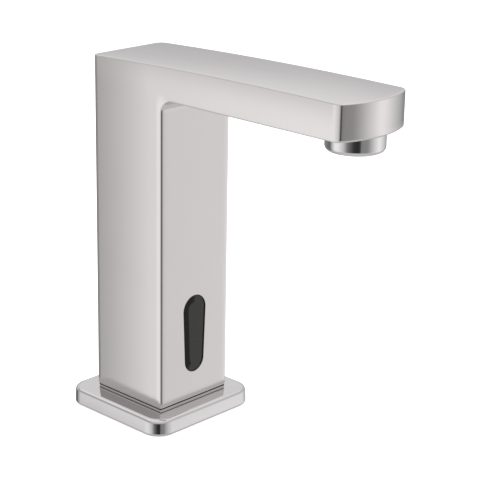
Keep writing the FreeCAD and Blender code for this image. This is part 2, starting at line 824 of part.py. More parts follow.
cage_radius = cartridge_bore_radius - running_gap
check_seat = filter_top + check_skirt_height
check_floor = check_seat + check_seat_thickness
check_guide = check_floor + check_chamber_height
cage_top = check_guide + check_guide_thickness
cage = valve_rod(cage_radius, filter_top, cage_top)
cage = cage.cut(valve_rod(filter_cup_radius + 2 * side_gap, filter_top - 1, check_seat))
cage = cage.cut(valve_rod(check_seat_radius, check_seat - 1, check_floor + 1))
cage = cage.cut(valve_rod(check_chamber_radius, check_floor, check_guide))
cage = cage.cut(valve_rod(check_stem_radius + running_gap, check_guide - 1, cage_top + 1))
port_circle = (check_stem_radius + check_chamber_radius) / 2 + ring_gap
port_radius = (check_chamber_radius - check_stem_radius) / 2 - 2 * side_gap
for number in range(check_ports):
    angle = 2 * math.pi * number / check_ports
    x = valve_x + port_circle * math.cos(angle)
    y = valve_y + port_circle * math.sin(angle)
    cage = cage.cut(rod(port_radius, check_guide - 1, cage_top + 1, x, y))
cage_groove_z = (filter_top + check_seat) / 2 - fit_gap
seal_seat_radius = cage_radius - bore_seal_section
seal_cut_radius = cage_radius + 1
cage = cage.cut(groove(seal_seat_radius, seal_cut_radius, bore_seal_section, cage_groove_z, valve_x, valve_y))
parts["check_cage"] = cage.removeSplitter()

poppet = valve_rod(check_disc_radius, check_floor, check_floor + check_disc_thickness)
poppet = poppet.fuse(valve_rod(check_stem_radius, check_floor, cage_top + check_stem_overrun))
parts["check_poppet"] = poppet.removeSplitter()
spring_low = check_floor + check_disc_thickness + seat_gap
parts["check_spring"] = spring(check_spring_radius, check_spring_wire, check_spring_turns,
                               spring_low, check_guide - seat_gap, valve_x, valve_y)

# ---- pilot valve -----------------------------------------------------------------------------------------

valve = rounded_block(valve_half, valve_half, valve_corner_radius, tower_top, valve_top, valve_x, valve_y)
valve = valve.fuse(valve_rod(cage_radius, tower_top - valve_spigot_length, tower_top + 1))
arm = block(0, outlet_reach, -outlet_arm_half, outlet_arm_half,
            outlet_axis - outlet_arm_half, outlet_axis + outlet_arm_half)
arm.rotate(Vector(0, 0, 0), Vector(0, 0, 1), math.degrees(outlet_turn))
arm.translate(Vector(valve_x, valve_y, 0))
valve = valve.fuse(arm)
valve = valve.fuse(rod(socket_radius, outlet_axis - outlet_arm_half, valve_top, tube_x, tube_y))
inlet_well_radius = cage_radius - bore_seal_section - valve_spigot_wall
chamber_top = tower_top + side_gap + lower_chamber_height
valve = valve.cut(valve_rod(inlet_well_radius, tower_top - valve_spigot_length - 1, chamber_top))
valve = valve.cut(valve_rod(lower_chamber_radius, chamber_top - lower_chamber_height, chamber_top))
annulus = valve_tube(annulus_radius, seat_lip_radius, valve_top - annulus_depth, valve_top + 1)
valve = valve.cut(annulus)
for number in range(feed_bores):
    angle = outlet_turn + 2 * math.pi * (number + 1) / (feed_bores + 1)
    x = valve_x + feed_bore_circle * math.cos(angle)
    y = valve_y + feed_bore_circle * math.sin(angle)
    valve = valve.cut(rod(feed_bore_radius, chamber_top - 1, valve_top - annulus_depth + 1, x, y))
valve = valve.cut(valve_rod(seat_bore_radius, outlet_axis - outlet_bore_radius, valve_top + 1))
outlet_way = Vector(math.cos(outlet_turn), math.sin(outlet_turn), 0)
outlet_start = Vector(valve_x, valve_y, outlet_axis)
valve = valve.cut(Part.makeCylinder(outlet_bore_radius, outlet_reach, outlet_start, outlet_way))
valve = valve.cut(rod(outlet_bore_radius, outlet_axis - outlet_bore_radius, socket_floor + 1, tube_x, tube_y))
valve = valve.cut(rod(tube_radius + running_gap, socket_floor, valve_top + 1, tube_x, tube_y))
tube_ring_z = valve_top - socket_depth / 2
seal_reach = tube_radius + tube_seal_section
valve = valve.cut(groove(tube_radius, seal_reach, tube_seal_section, tube_ring_z, tube_x, tube_y))
spigot_groove_z = tower_top - valve_spigot_length / 2
valve = valve.cut(groove(seal_seat_radius, seal_cut_radius, bore_seal_section, spigot_groove_z,
                         valve_x, valve_y))
for x, y in valve_screws:
    valve = valve.cut(rod(hole_radius, tower_top - 1, valve_top + 1, x, y))
parts["valve_body"] = valve.removeSplitter()

bore_ring_radius = cage_radius - bore_seal_section / 2 + ring_gap / 2
parts["inlet_seals"] = Part.makeCompound([
    o_ring(bore_ring_radius, bore_seal_section - ring_gap, z, valve_x, valve_y)
    for z in (spigot_groove_z, cage_groove_z)
])

diaphragm = valve_tube(diaphragm_radius, disc_radius + side_gap, valve_top, bonnet_floor)
parts["diaphragm"] = diaphragm
disc = valve_rod(disc_radius, disc_floor, disc_top)
parts["diaphragm_disc"] = disc.cut(valve_rod(pilot_hole_radius, disc_floor - 1, disc_top + 1))

bonnet = rounded_block(valve_half, valve_half, valve_corner_radius, valve_top, bonnet_top, valve_x, valve_y)
bonnet = bonnet.cut(valve_rod(diaphragm_radius + side_gap, valve_top - 1, bonnet_floor))
bonnet = bonnet.cut(valve_rod(bonnet_recess_radius, bonnet_floor - 1, bonnet_floor + bonnet_recess_depth))
bonnet = bonnet.cut(valve_rod(guide_radius + ring_gap, bonnet_floor, bonnet_top + 1))
guide_flange_top = guide_floor + guide_flange_thickness
bonnet = bonnet.cut(valve_rod(guide_flange_radius + ring_gap, bonnet_floor, guide_flange_top + ring_gap))
for x, y in valve_screws:
    bonnet = bonnet.cut(rod(hole_radius, valve_top - 1, bonnet_top + 1, x, y))
parts["valve_bonnet"] = bonnet
long_depth = bonnet_top - tower_top + valve_screw_grip
parts["valve_screws"] = Part.makeCompound([cap_screw(bonnet_top, long_depth, x, y) for x, y in valve_screws])

# ---- solenoid --------------------------------------------------------------------------------------------

guide = valve_rod(guide_radius, guide_floor, core_stop_top)
guide = guide.fuse(valve_rod(guide_flange_radius, guide_floor, guide_flange_top))
guide_bore = valve_rod(plunger_radius + running_gap, guide_floor - 1, core_stop_top + 1)
parts["plunger_guide"] = guide.cut(guide_bore).removeSplitter()
plunger = valve_rod(plunger_radius, plunger_floor, plunger_top)
spring_seat = plunger_top - plunger_bore_depth
parts["plunger"] = plunger.cut(valve_rod(plunger_bore_radius, spring_seat, plunger_top + 1))
parts["plunger_seal"] = valve_rod(plunger_seal_radius, plunger_seal_floor, plunger_floor)
parts["plunger_spring"] = spring(plunger_spring_radius, plunger_spring_wire, plunger_spring_turns,
                                 spring_seat + seat_gap, core_stop_floor - seat_gap, valve_x, valve_y)
core = valve_rod(plunger_radius, core_stop_floor, core_stop_top)
core_cap = valve_rod(guide_radius, core_stop_top, core_stop_top + core_cap_thickness)
parts["core_stop"] = core.fuse(core_cap).removeSplitter()

bobbin_bore = guide_radius + seat_gap
bobbin_core = bobbin_bore + bobbin_core_wall
bobbin = valve_rod(bobbin_flange_radius, bobbin_floor, bobbin_top)
spool_floor = bobbin_floor + bobbin_flange_thickness
spool_top = bobbin_top - bobbin_flange_thickness
bobbin = bobbin.cut(valve_tube(bobbin_flange_radius + 1, bobbin_core, spool_floor, spool_top))
parts["coil_bobbin"] = bobbin.cut(valve_rod(bobbin_bore, bobbin_floor - 1, bobbin_top + 1))
winding_floor = spool_floor + seat_gap
winding_top = spool_top - seat_gap
parts["coil_winding"] = valve_tube(winding_radius, bobbin_core + seat_gap, winding_floor, winding_top)

yoke_half = yoke_width / 2
yoke_inner = yoke_half_span - yoke_thickness
yoke = block(-yoke_half, yoke_half, -yoke_half_span, yoke_half_span, yoke_floor, yoke_top)
yoke = yoke.cut(block(-yoke_half - 1, yoke_half + 1, -yoke_inner, yoke_inner,
                      yoke_floor + yoke_thickness, yoke_top - yoke_thickness))
yoke.translate(Vector(valve_x, valve_y, 0))
parts["coil_yoke"] = yoke.cut(valve_rod(bobbin_bore, yoke_floor - 1, yoke_top + 1))
parts["coil_clip"] = valve_tube(clip_radius, guide_radius + ring_gap, yoke_top, yoke_top + clip_thickness)

# ---- water tube ------------------------------------------------------------------------------------------

tube_points = [
    Vector(tube_x, tube_y, tube_start),
    Vector(tube_x, tube_y, tube_axis),
    Vector(0, outlet_block_start + tube_straight, tube_axis),
    Vector(0, tube_end, tube_axis),
]
tube_radii = [tube_bend_radius, tube_sweep_radius]
water_tube = pipe(tube_points, tube_radii, tube_radius)
parts["water_tube"] = water_tube.cut(pipe(tube_points, tube_radii, tube_bore_radius))
tube_ring_radius = tube_radius + tube_seal_section / 2 + ring_gap
outlet_ring = Part.makeTorus(tube_ring_radius, tube_seal_section / 2 - ring_gap,
                             Vector(0, ring_seat_y, tube_axis), Vector(0, 1, 0))
parts["tube_seals"] = Part.makeCompound([
    o_ring(tube_ring_radius, tube_seal_section - 2 * ring_gap, tube_ring_z, tube_x, tube_y),
    outlet_ring,
])

# ---- battery pack ----------------------------------------------------------------------------------------

foot_x = bracket_outer_x - bracket_foot
foot_top = plate_top + bracket_thickness
bracket = block(foot_x, bracket_outer_x, bracket_front_y, bracket_back_y, plate_top, foot_top)
for y in bracket_screw_ys:
    bracket = bracket.cut(rod(hole_radius, plate_top - 1, foot_top + 1, bracket_screw_x, y))
upright = block(bracket_inner_x, bracket_outer_x, bracket_front_y, bracket_back_y, plate_top, shelf_top)
bracket = bracket.fuse(upright)
shelf_front_y = bracket_back_y - shelf_depth
shelf_left_x = case_x - case_half + side_gap
bracket = bracket.fuse(block(shelf_left_x, bracket_outer_x, shelf_front_y, bracket_back_y, shelf, shelf_top))
lane_mid_x = (bracket_inner_x + case_x + case_half) / 2
lane_y = housing_rear_y + 2 * lead_bend_radius
slot_half_x = lead_spacing / 2 + lead_radius + seat_gap
slot_half_y = lead_radius + fit_gap
bracket = bracket.cut(block(lane_mid_x - slot_half_x, lane_mid_x + slot_half_x,
                            lane_y - slot_half_y, lane_y + slot_half_y, shelf - 1, shelf_top + 1))
cell_spots = {}
for sign_x in (-1, 1):
    for sign_y in (-1, 1):
        cell_spots[sign_x, sign_y] = (case_x + sign_x * cell_pitch / 2, case_y + sign_y * cell_pitch / 2)
case_screw_spots = [cell_spots[-1, -1], cell_spots[1, -1]]
for x, y in case_screw_spots:
    bracket = bracket.cut(rod(hole_radius, shelf - 1, shelf_top + 1, x, y))
parts["battery_bracket"] = bracket.removeSplitter()
parts["bracket_screws"] = Part.makeCompound([
    cap_screw(foot_top, bracket_thickness + screw_depth - seat_gap, bracket_screw_x, y)
    for y in bracket_screw_ys
])
case_screws = []
for x, y in case_screw_spots:
    screw = cap_screw(0, bracket_thickness + case_floor - 2 * seat_gap, 0, 0)
    screw.rotate(Vector(0, 0, 0), Vector(1, 0, 0), 180)
    screw.translate(Vector(x, y, shelf))
    case_screws.append(screw)
parts["case_screws"] = Part.makeCompound(case_screws)

case = rounded_block(case_half, case_half, case_corner_radius, shelf_top, case_top, case_x, case_y)
pocket_radius = cell_radius + seat_gap
contact_floor = shelf_top + case_floor
for x, y in cell_spots.values():
    case = case.cut(rod(pocket_radius, contact_floor, case_top + 1, x, y))
for x, y in case_screw_spots:
    case = case.cut(rod(hole_radius, shelf_top - 1, shelf_top + case_floor - seat_gap, x, y))
case = case.cut(rod(hole_radius, case_top - cap_screw_depth, case_top + 1, case_x, case_y))


def strip(spot_a, spot_b, width, z0, z1):
    """Flat bar between the middles of two cells that stand side by side."""
    xs = sorted((spot_a[0], spot_b[0]))
    ys = sorted((spot_a[1], spot_b[1]))
    grow_x = 0 if xs[1] - xs[0] > tolerance else width / 2
    grow_y = 0 if ys[1] - ys[0] > tolerance else width / 2
    return block(xs[0] - grow_x, xs[1] + grow_x, ys[0] - grow_y, ys[1] + grow_y, z0, z1)


# the cells are in series: linked at the top, at the bottom and at the top again
links = [
    (cell_spots[1, 1], cell_spots[-1, 1], cell_top + contact_height, case_top),
    (cell_spots[-1, 1], cell_spots[-1, -1], contact_floor, contact_floor + contact_thickness),
    (cell_spots[-1, -1], cell_spots[1, -1], cell_top + contact_height, case_top),
]
for spot_a, spot_b, z0, z1 in links:
    case = case.cut(strip(spot_a, spot_b, contact_strip_width + 2 * seat_gap, z0, z1 + seat_gap))
battery_lead_z = contact_floor + lead_radius + 2 * seat_gap
lead_starts = [cell_spots[1, -1], cell_spots[1, 1]]
for x, y in lead_starts:
    lead_start = Vector(x, y, battery_lead_z)
    case = case.cut(Part.makeCylinder(lead_radius + seat_gap, case_half, lead_start, Vector(1, 0, 0)))
parts["battery_case"] = case

cells = []
for (sign_x, sign_y), (x, y) in cell_spots.items():
    nub_up = sign_x == sign_y
    can_floor = cell_floor if nub_up else cell_floor + cell_nub_length
    can_top = can_floor + cell_length - cell_nub_length
    cell = rod(cell_radius, can_floor, can_top, x, y)
    if nub_up:
        nub = rod(cell_nub_radius, can_top, can_top + cell_nub_length, x, y)
    else:
        nub = rod(cell_nub_radius, can_floor - cell_nub_length, can_floor, x, y)
    cells.append(cell.fuse(nub).removeSplitter())
parts["battery_cells"] = Part.makeCompound(cells)

bump_radius = contact_radius / 2
low_plate_top = contact_floor + contact_thickness
contacts = []
for x, y in cell_spots.values():
    low_bump = Part.makeCone(bump_radius, contact_tip_radius, contact_height, Vector(x, y, low_plate_top))
    high_bump = Part.makeCone(contact_tip_radius, bump_radius, contact_height, Vector(x, y, cell_top))
    contacts.append(rod(contact_radius, contact_floor, low_plate_top, x, y).fuse(low_bump))
    contacts.append(rod(contact_radius, cell_top + contact_height, case_top, x, y).fuse(high_bump))
for spot_a, spot_b, z0, z1 in links:
    contacts.append(strip(spot_a, spot_b, contact_strip_width, z0, z1))
parts["battery_contacts"] = contacts[0].multiFuse(contacts[1:]).removeSplitter()

seal_ring = rounded_block(case_half, case_half, case_corner_radius, case_top, cap_floor, case_x, case_y)
seal_inner = case_half - cap_seal_width
parts["cap_seal"] = seal_ring.cut(rounded_block(seal_inner, seal_inner, case_corner_radius - cap_seal_width,
                                                case_top - 1, cap_floor + 1, case_x, case_y))
cap = rounded_block(case_half, case_half, case_corner_radius, cap_floor, cap_top, case_x, case_y)
cap_plug_half = seal_inner - side_gap
cap = cap.fuse(rounded_block(cap_plug_half, cap_plug_half, case_corner_radius - cap_seal_width - side_gap,
                             case_top, cap_floor, case_x, case_y))
parts["battery_cap"] = cap.cut(rod(hole_radius, case_top - 1, cap_top + 1, case_x, case_y)).removeSplitter()
cap_screw_length = cap_top - case_top + cap_screw_depth - fit_gap
parts["battery_cap_screw"] = cap_screw(cap_top, cap_screw_length, case_x, case_y)

# ---- aerator -----------------------------------------------------------------------------------------------

ring = outlet_rod(aerator_radius, aerator_bottom, aerator_shoulder)
ring = ring.makeFillet(aerator_edge_radius, edges_where(ring, lambda p: near(p.z, aerator_bottom)))
ring = ring.fuse(outlet_rod(aerator_thread_radius, aerator_shoulder - 1, thread_top))
lip_top = aerator_bottom + aerator_lip_thickness
ring = ring.cut(outlet_rod(aerator_bore_radius, lip_top, thread_top + 1))
ring = ring.cut(outlet_rod(aerator_lip_radius, aerator_bottom - 1, thread_top)).removeSplitter()


def on_mouth(p):
    return near(p.z, aerator_bottom) and near(math.hypot(p.x, p.y - aerator_y), aerator_lip_radius)


parts["aerator_housing"] = ring.makeFillet(aerator_inner_edge, edges_where(ring, on_mouth))

insert_radius = aerator_bore_radius - running_gap
insert_floor = lip_top + ring_gap
insert_top = insert_floor + insert_height
insert_bore = insert_radius - insert_wall
insert = tube(insert_radius, insert_bore, insert_floor, insert_top, 0, aerator_y)
grid_top = insert_floor + insert_grid_thickness
insert = insert.fuse(outlet_rod(insert_bore + seat_gap, insert_floor, grid_top))
jet_floor = insert_floor + jet_disc_height
insert = insert.fuse(outlet_rod(insert_bore + seat_gap, jet_floor, jet_floor + jet_disc_thickness))
drills = []
rows = int(insert_bore / insert_hole_pitch)
for row in range(-rows, rows + 1):
    for column in range(-2 * rows, 2 * rows + 1):
        x = insert_hole_pitch * (column + (row % 2) / 2)
        y = insert_hole_pitch * row * math.sin(math.radians(60))
        if math.hypot(x, y) < insert_bore - insert_hole_radius:
            drills.append(rod(insert_hole_radius, insert_floor - 1, grid_top + 1, x, aerator_y + y))
jet_circle = insert_bore - 2 * insert_hole_radius
for number in range(jet_holes):
    angle = 2 * math.pi * number / jet_holes
    x = jet_circle * math.cos(angle)
    y = aerator_y + jet_circle * math.sin(angle)
    drills.append(rod(jet_hole_radius, jet_floor - 1, jet_floor + jet_disc_thickness + 1, x, y))
parts["aerator_insert"] = insert.cut(Part.makeCompound(drills)).removeSplitter()

screen_floor = insert_top + ring_gap
screen_reach = insert_radius
dome_radius = (screen_reach ** 2 + screen_rise ** 2) / (2 * screen_rise)
dome_centre = Vector(0, aerator_y, screen_floor + screen_rise - dome_radius)
dome = Part.makeSphere(dome_radius, dome_centre)
dome = dome.cut(Part.makeSphere(dome_radius - screen_thickness, dome_centre))
parts["aerator_screen"] = dome.common(outlet_rod(screen_reach, screen_floor, thread_top))
washer_outer = aerator_thread_radius - seat_gap
parts["aerator_washer"] = tube(washer_outer, washer_outer - aerator_washer_width, washer_floor,
                               washer_floor + aerator_washer_thickness, 0, aerator_y)

# ---- leads -------------------------------------------------------------------------------------------------


def lead(points):
    return pipe(points, [lead_bend_radius] * (len(points) - 2), lead_radius)


lead_end_y = board_rear_y + seat_gap
coil_side_x = valve_x + winding_radius + seat_gap
coil_lane_x = coil_lead_x + lead_run
coil_lead_z = (winding_floor + winding_top) / 2
coil_leads = []
for step, (x, z) in enumerate(lead_entries[:2]):
    start_z = coil_lead_z - step * lead_spacing
    coil_leads.append(lead([
        Vector(coil_side_x, valve_y, start_z),
        Vector(coil_lane_x, valve_y, start_z),
        Vector(x, housing_rear_y + lead_run, z),
        Vector(x, lead_end_y, z),
    ]))
parts["coil_leads"] = Part.makeCompound(coil_leads)

battery_leads = []
lane_xs = (lane_mid_x - lead_spacing / 2, lane_mid_x + lead_spacing / 2)
for (start_x, start_y), lane_x, (x, z) in zip(reversed(lead_starts), lane_xs, lead_entries[2:]):
    battery_leads.append(lead([
        Vector(start_x + contact_radius + seat_gap, start_y, battery_lead_z),
        Vector(lane_x, start_y, battery_lead_z),
        Vector(lane_x, lane_y, battery_lead_z),
        Vector(lane_x, lane_y, z),
        Vector(x, lane_y, z),
        Vector(x, lead_end_y, z),
    ]))
parts["battery_leads"] = Part.makeCompound(battery_leads)

# ---- files -------------------------------------------------------------------------------------------------

os.makedirs("parts", exist_ok=True)
for name, shape in parts.items():
    shape.exportStep("parts/" + name + ".step")
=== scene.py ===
import math

import bpy
from mathutils import Matrix, Vector


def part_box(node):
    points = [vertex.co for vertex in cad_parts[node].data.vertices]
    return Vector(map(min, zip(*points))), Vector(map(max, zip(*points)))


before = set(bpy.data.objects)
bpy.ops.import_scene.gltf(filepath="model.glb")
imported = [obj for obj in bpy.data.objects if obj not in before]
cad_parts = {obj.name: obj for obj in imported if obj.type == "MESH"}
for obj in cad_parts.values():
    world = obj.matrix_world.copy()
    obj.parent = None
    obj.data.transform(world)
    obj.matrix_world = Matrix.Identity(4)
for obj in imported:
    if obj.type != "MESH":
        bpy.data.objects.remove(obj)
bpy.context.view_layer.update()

# ---- deck gasket --------------------------------------------------------------------------------
# A flat ring of black rubber in a recess under the flange, punched from sheet. It seals the tap to
# the deck when the studs pull the base block down.


class Signal:
    """An output socket. Sums, differences, products and quotients of signals add Math nodes."""

    def __init__(self, tree, socket):
        self.tree = tree
        self.socket = socket

    @classmethod
    def node(cls, tree, kind, settings, inputs, output=0):
        """Adds a node: first its settings, then the values or links of its sockets."""
        node = tree.nodes.new(kind)
        for name, value in settings.items():
            setattr(node, name, value)
        for name, value in inputs.items():
            if isinstance(value, Signal):
                tree.links.new(value.socket, node.inputs[name])
            else:
                node.inputs[name].default_value = value
        return cls(tree, node.outputs[output]) if node.outputs else None

    def math(self, operation, *others):
        inputs = dict(enumerate((self, *others)))
        return Signal.node(self.tree, "ShaderNodeMath", {"operation": operation}, inputs)

    def __add__(self, other):
        return self.math("ADD", other)

    def __radd__(self, other):
        return self.math("ADD", other)

    def __sub__(self, other):
        return self.math("SUBTRACT", other)

    def __rsub__(self, other):
        flipped = self.math("MULTIPLY", -1.0)
        return flipped.math("ADD", other)

    def __mul__(self, other):
        return self.math("MULTIPLY", other)

    def __rmul__(self, other):
        return self.math("MULTIPLY", other)

    def __truediv__(self, other):
        return self.math("DIVIDE", other)

    def rise(self, low, high):
        """0 below low, 1 above high, and a smooth rise between them."""
        return Signal.node(
            self.tree, "ShaderNodeMapRange", {"interpolation_type": "SMOOTHSTEP"},
            {"Value": self, "From Min": low, "From Max": high},
        )

    def levels(self, *stops):
        """A grey level read between stops, each a value of this signal and its level."""
        low = stops[0][0]
        span = stops[-1][0] - low
        graded = Signal.node(self.tree, "ShaderNodeValToRGB", {}, {"Fac": (self - low) / span})
        ramp = graded.socket.node.color_ramp
        while len(ramp.elements) < len(stops):
            ramp.elements.new(1.0)
        for element, (value, grey) in zip(ramp.elements, stops):
            element.position = (value - low) / span
            element.color = (grey, grey, grey, 1.0)
        return graded

    def axes(self):
        """The X, Y and Z of a vector signal."""
        split = Signal.node(self.tree, "ShaderNodeSeparateXYZ", {}, {"Vector": self})
        return [Signal(self.tree, socket) for socket in split.socket.node.outputs]

    def stretched(self, factors):
        """A vector signal multiplied axis by axis."""
        return Signal.node(
            self.tree, "ShaderNodeVectorMath", {"operation": "MULTIPLY"}, {0: self, 1: factors}
        )

    def speckle(self, size, detail=2.0):
        """Noise from 0 to 1 at this place, with lumps of the given size in metres."""
        return Signal.node(
            self.tree, "ShaderNodeTexNoise", {},
            {"Vector": self, "Scale": 1 / size, "Detail": detail},
        )

    def tint(self, dark, light):
        """A colour between two, by this signal."""
        return Signal.node(
            self.tree, "ShaderNodeMix", {"data_type": "RGBA"},
            {0: self, 6: (*dark, 1.0), 7: (*light, 1.0)}, 2,
        )

    def relief(self, depth, normal=None):
        """A bump of this height signal, depth metres deep."""
        inputs = {"Height": self, "Distance": depth}
        if normal is not None:
            inputs["Normal"] = normal
        return Signal.node(self.tree, "ShaderNodeBump", {}, inputs)


def new_finish(name):
    """An empty material, with the place on the piece as a signal in metres."""
    finish = bpy.data.materials.new(name)
    finish.use_nodes = True
    finish.node_tree.nodes.clear()
    place = Signal.node(finish.node_tree, "ShaderNodeTexCoord", {}, {}, "Object")
    return finish, place


def surface(finish, sockets):
    """Closes a material with the surface shader and its sockets."""
    tree = finish.node_tree
    shader = Signal.node(tree, "ShaderNodeBsdfPrincipled", {}, sockets)
    Signal.node(tree, "ShaderNodeOutputMaterial", {}, {"Surface": shader})
    return finish


def dress(finish, *nodes):
    """Gives CAD nodes their finish."""
    for name in nodes:
        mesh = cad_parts[name].data
        mesh.materials.clear()
        mesh.materials.append(finish)


def make_rubber():
    finish, place = new_finish("black_rubber")
    bloom = place.speckle(0.004)
    grain = place.speckle(0.0004)
    return surface(finish, {
        "Base Color": bloom.tint((0.010, 0.010, 0.011), (0.026, 0.026, 0.027)),
        "Roughness": 0.58 + 0.16 * grain,
        "Specular IOR Level": 0.35,
        "Normal": grain.relief(0.00003),
    })


rubber = make_rubber()
dress(rubber, "deck_gasket")

# ---- base block ---------------------------------------------------------------------------------
# A brass casting that stands on the deck. It is faced and bored from below for the supply thread
# and the two studs, and its tower takes the filter and the non-return valve.


def make_brass():
    finish, place = new_finish("cast_brass")
    tarnish = place.speckle(0.009, 4.0)
    sand = place.speckle(0.0007)
    return surface(finish, {
        "Base Color": tarnish.tint((0.46, 0.30, 0.11), (0.74, 0.55, 0.26)),
        "Metallic": 1.0,
        "Roughness": 0.32 + 0.22 * sand,
        "Normal": sand.relief(0.00005),
    })


dress(make_brass(), "base_block")

# ---- inlet filter and non-return valve ----------------------------------------------------------
# Moulded from white acetal and pushed into the tower. The strainer keeps grit out, and the sprung
# poppet closes against water that would run back.


def make_plastic(name, dark, light, gloss):
    """Moulded plastic with a fine spark-eroded skin and slight flow marks."""
    finish, place = new_finish(name)
    flow = place.stretched((1.0, 1.0, 0.35)).speckle(0.006)
    skin = place.speckle(0.00025)
    return surface(finish, {
        "Base Color": flow.tint(dark, light),
        "Roughness": gloss + 0.10 * skin,
        "Normal": skin.relief(0.00001),
    })


acetal = make_plastic("white_plastic", (0.66, 0.66, 0.63), (0.78, 0.78, 0.75), 0.34)
dress(acetal, "inlet_filter", "check_cage", "check_poppet")
dress(rubber, "inlet_seals")


def make_stainless():
    """Drawn or turned stainless steel: fine lines along the piece over a soft mottle."""
    finish, place = new_finish("stainless")
    lines = place.stretched((1.0, 1.0, 0.06)).speckle(0.0003, 3.0)
    mottle = place.speckle(0.003)
    return surface(finish, {
        "Base Color": mottle.tint((0.50, 0.49, 0.47), (0.62, 0.61, 0.59)),
        "Metallic": 1.0,
        "Roughness": 0.20 + 0.18 * lines,
        "Normal": lines.relief(0.000006),
    })


stainless = make_stainless()
dress(stainless, "check_spring")

# ---- pilot valve --------------------------------------------------------------------------------
# A square moulding screwed down on the tower, with a rubber diaphragm held under its bonnet. The
# plastic disc in the diaphragm's middle closes the outlet seat.

dress(acetal, "valve_body", "valve_bonnet", "diaphragm_disc")
dress(rubber, "diaphragm")
dress(stainless, "valve_screws")

# ---- solenoid -----------------------------------------------------------------------------------
# A pulse coil on the bonnet. The bobbin is wound with enamelled copper and stands in a plated
# steel yoke, and a spring pushes the steel plunger down in its thin guide.


def make_copper():
    """Enamelled winding: each turn of wire is one ridge. The trough between turns has painted
    shade, and each crest has a painted highlight.
    """
    turn = 0.00035
    finish, place = new_finish("copper_wire")
    height = place.axes()[2]
    ridge_and_painted_shade = (height * (2 * math.pi / turn)).math("SINE") * 0.5 + 0.5
    shade = place.speckle(0.002)
    return surface(finish, {
        # painted shade and highlight: the colour is darker in the troughs between turns and
        # lighter on the crests
        "Base Color": (ridge_and_painted_shade * 0.6 + shade * 0.4).tint((0.34, 0.11, 0.045), (0.72, 0.32, 0.16)),
        "Metallic": 0.9,
        "Roughness": 0.24 + 0.12 * shade,
        "Coat Weight": 0.4,
        "Normal": ridge_and_painted_shade.relief(0.0001),
    })


def make_zinc():
    """Pressed steel, zinc plated: a patchy blue-grey sheen."""
    finish, place = new_finish("zinc_steel")
    patch = place.speckle(0.005, 3.0)
    scratch = place.stretched((0.1, 1.0, 1.0)).speckle(0.0004)
    return surface(finish, {
        "Base Color": patch.tint((0.43, 0.45, 0.48), (0.60, 0.60, 0.57)),
        "Metallic": 1.0,
        "Roughness": 0.30 + 0.16 * scratch,
        "Normal": scratch.relief(0.000008),
    })


zinc = make_zinc()
dress(acetal, "coil_bobbin")
dress(make_copper(), "coil_winding")
dress(zinc, "coil_yoke", "coil_clip")
dress(stainless, "plunger_guide", "plunger", "plunger_spring", "core_stop")
dress(rubber, "plunger_seal")

# ---- water tube ---------------------------------------------------------------------------------
# A bent stainless tube from the pilot valve up the column and along the spout. Each end is pushed
# into a bore with a round seal.

dress(stainless, "water_tube")
dress(rubber, "tube_seals")

# ---- battery pack -------------------------------------------------------------------------------
# Four round cells in a black case on a plated bracket above the coil. Nickel plates join them in
# series, and a screwed cap with a soft seal closes the case.


def make_wrap():
    """Shrunk plastic sleeve on each cell: dark below, a copper-coloured band at the top."""
    finish, place = new_finish("battery_wrap")
    low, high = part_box("battery_cells")
    band_z = low.z + 0.78 * (high.z - low.z)
    height = place.axes()[2]
    wrinkle = place.speckle(0.003)
    band = height.rise(band_z, band_z + 0.0002)
    return surface(finish, {
        "Base Color": band.tint((0.020, 0.020, 0.024), (0.50, 0.23, 0.10)),
        "Metallic": 0.55 * band,
        "Roughness": 0.22 + 0.12 * wrinkle,
        "Coat Weight": 0.3,
        "Normal": wrinkle.relief(0.00002),
    })


def make_nickel():
    finish, place = new_finish("nickel_contact")
    stamped = place.speckle(0.0012, 3.0)
    return surface(finish, {
        "Base Color": stamped.tint((0.56, 0.53, 0.47), (0.70, 0.67, 0.61)),
        "Metallic": 1.0,
        "Roughness": 0.20 + 0.16 * stamped,
        "Normal": stamped.relief(0.00001),
    })


black_plastic = make_plastic("black_plastic", (0.012, 0.012, 0.013), (0.024, 0.024, 0.026), 0.38)
dress(zinc, "battery_bracket")
dress(stainless, "bracket_screws", "case_screws", "battery_cap_screw")
dress(black_plastic, "battery_case", "battery_cap")
dress(make_wrap(), "battery_cells")
dress(make_nickel(), "battery_contacts")
dress(rubber, "cap_seal")

# ---- sensor module ------------------------------------------------------------------------------
# A black housing screwed behind the front wall. Its board carries the infrared emitter above, the
# receiver below a light baffle, a small red light and the control chip.


def make_board():
    """Green solder mask over copper tracks that show as a raised grid of lines."""
    track_pitch = 0.0025
    finish, place = new_finish("green_board")
    across, _, up = place.axes()
    wander = place.speckle(0.006) * track_pitch
    runs = ((across + wander) * (2 * math.pi / track_pitch)).math("SINE").rise(0.55, 0.75)
    rungs = ((up + wander) * (math.pi / track_pitch)).math("SINE").rise(0.80, 0.90)
    tracks = runs.math("MAXIMUM", rungs)
    return surface(finish, {
        "Base Color": tracks.tint((0.010, 0.090, 0.030), (0.030, 0.190, 0.065)),
        "Roughness": 0.32 - 0.08 * tracks,
        "Normal": tracks.relief(0.00003),
    })


def make_eye(name, colour, haze):
    """Moulded epoxy of a round-nosed component, a little cloudy inside."""
    finish, place = new_finish(name)
    cloud = place.speckle(0.0015)
    paler = [channel + haze for channel in colour]
    return surface(finish, {
        "Base Color": cloud.tint(colour, paler),
        "Roughness": 0.06 + 0.08 * cloud,
        "Coat Weight": 0.5,
    })


dress(black_plastic, "sensor_housing", "control_chip")
dress(make_board(), "circuit_board")
dress(make_eye("clear_blue_eye", (0.16, 0.24, 0.42), 0.10), "ir_emitter")
dress(make_eye("dark_eye", (0.012, 0.008, 0.010), 0.012), "ir_receiver")
dress(make_eye("red_light", (0.52, 0.020, 0.015), 0.06), "indicator_light")
dress(stainless, "board_screws", "housing_screws")

# ---- sensor window ------------------------------------------------------------------------------
# A tapered slot of smoked acrylic, dark enough to hide the sensor. It is pushed into the front
# wall from inside against a rubber seal, and lies a little below the face of the casting.

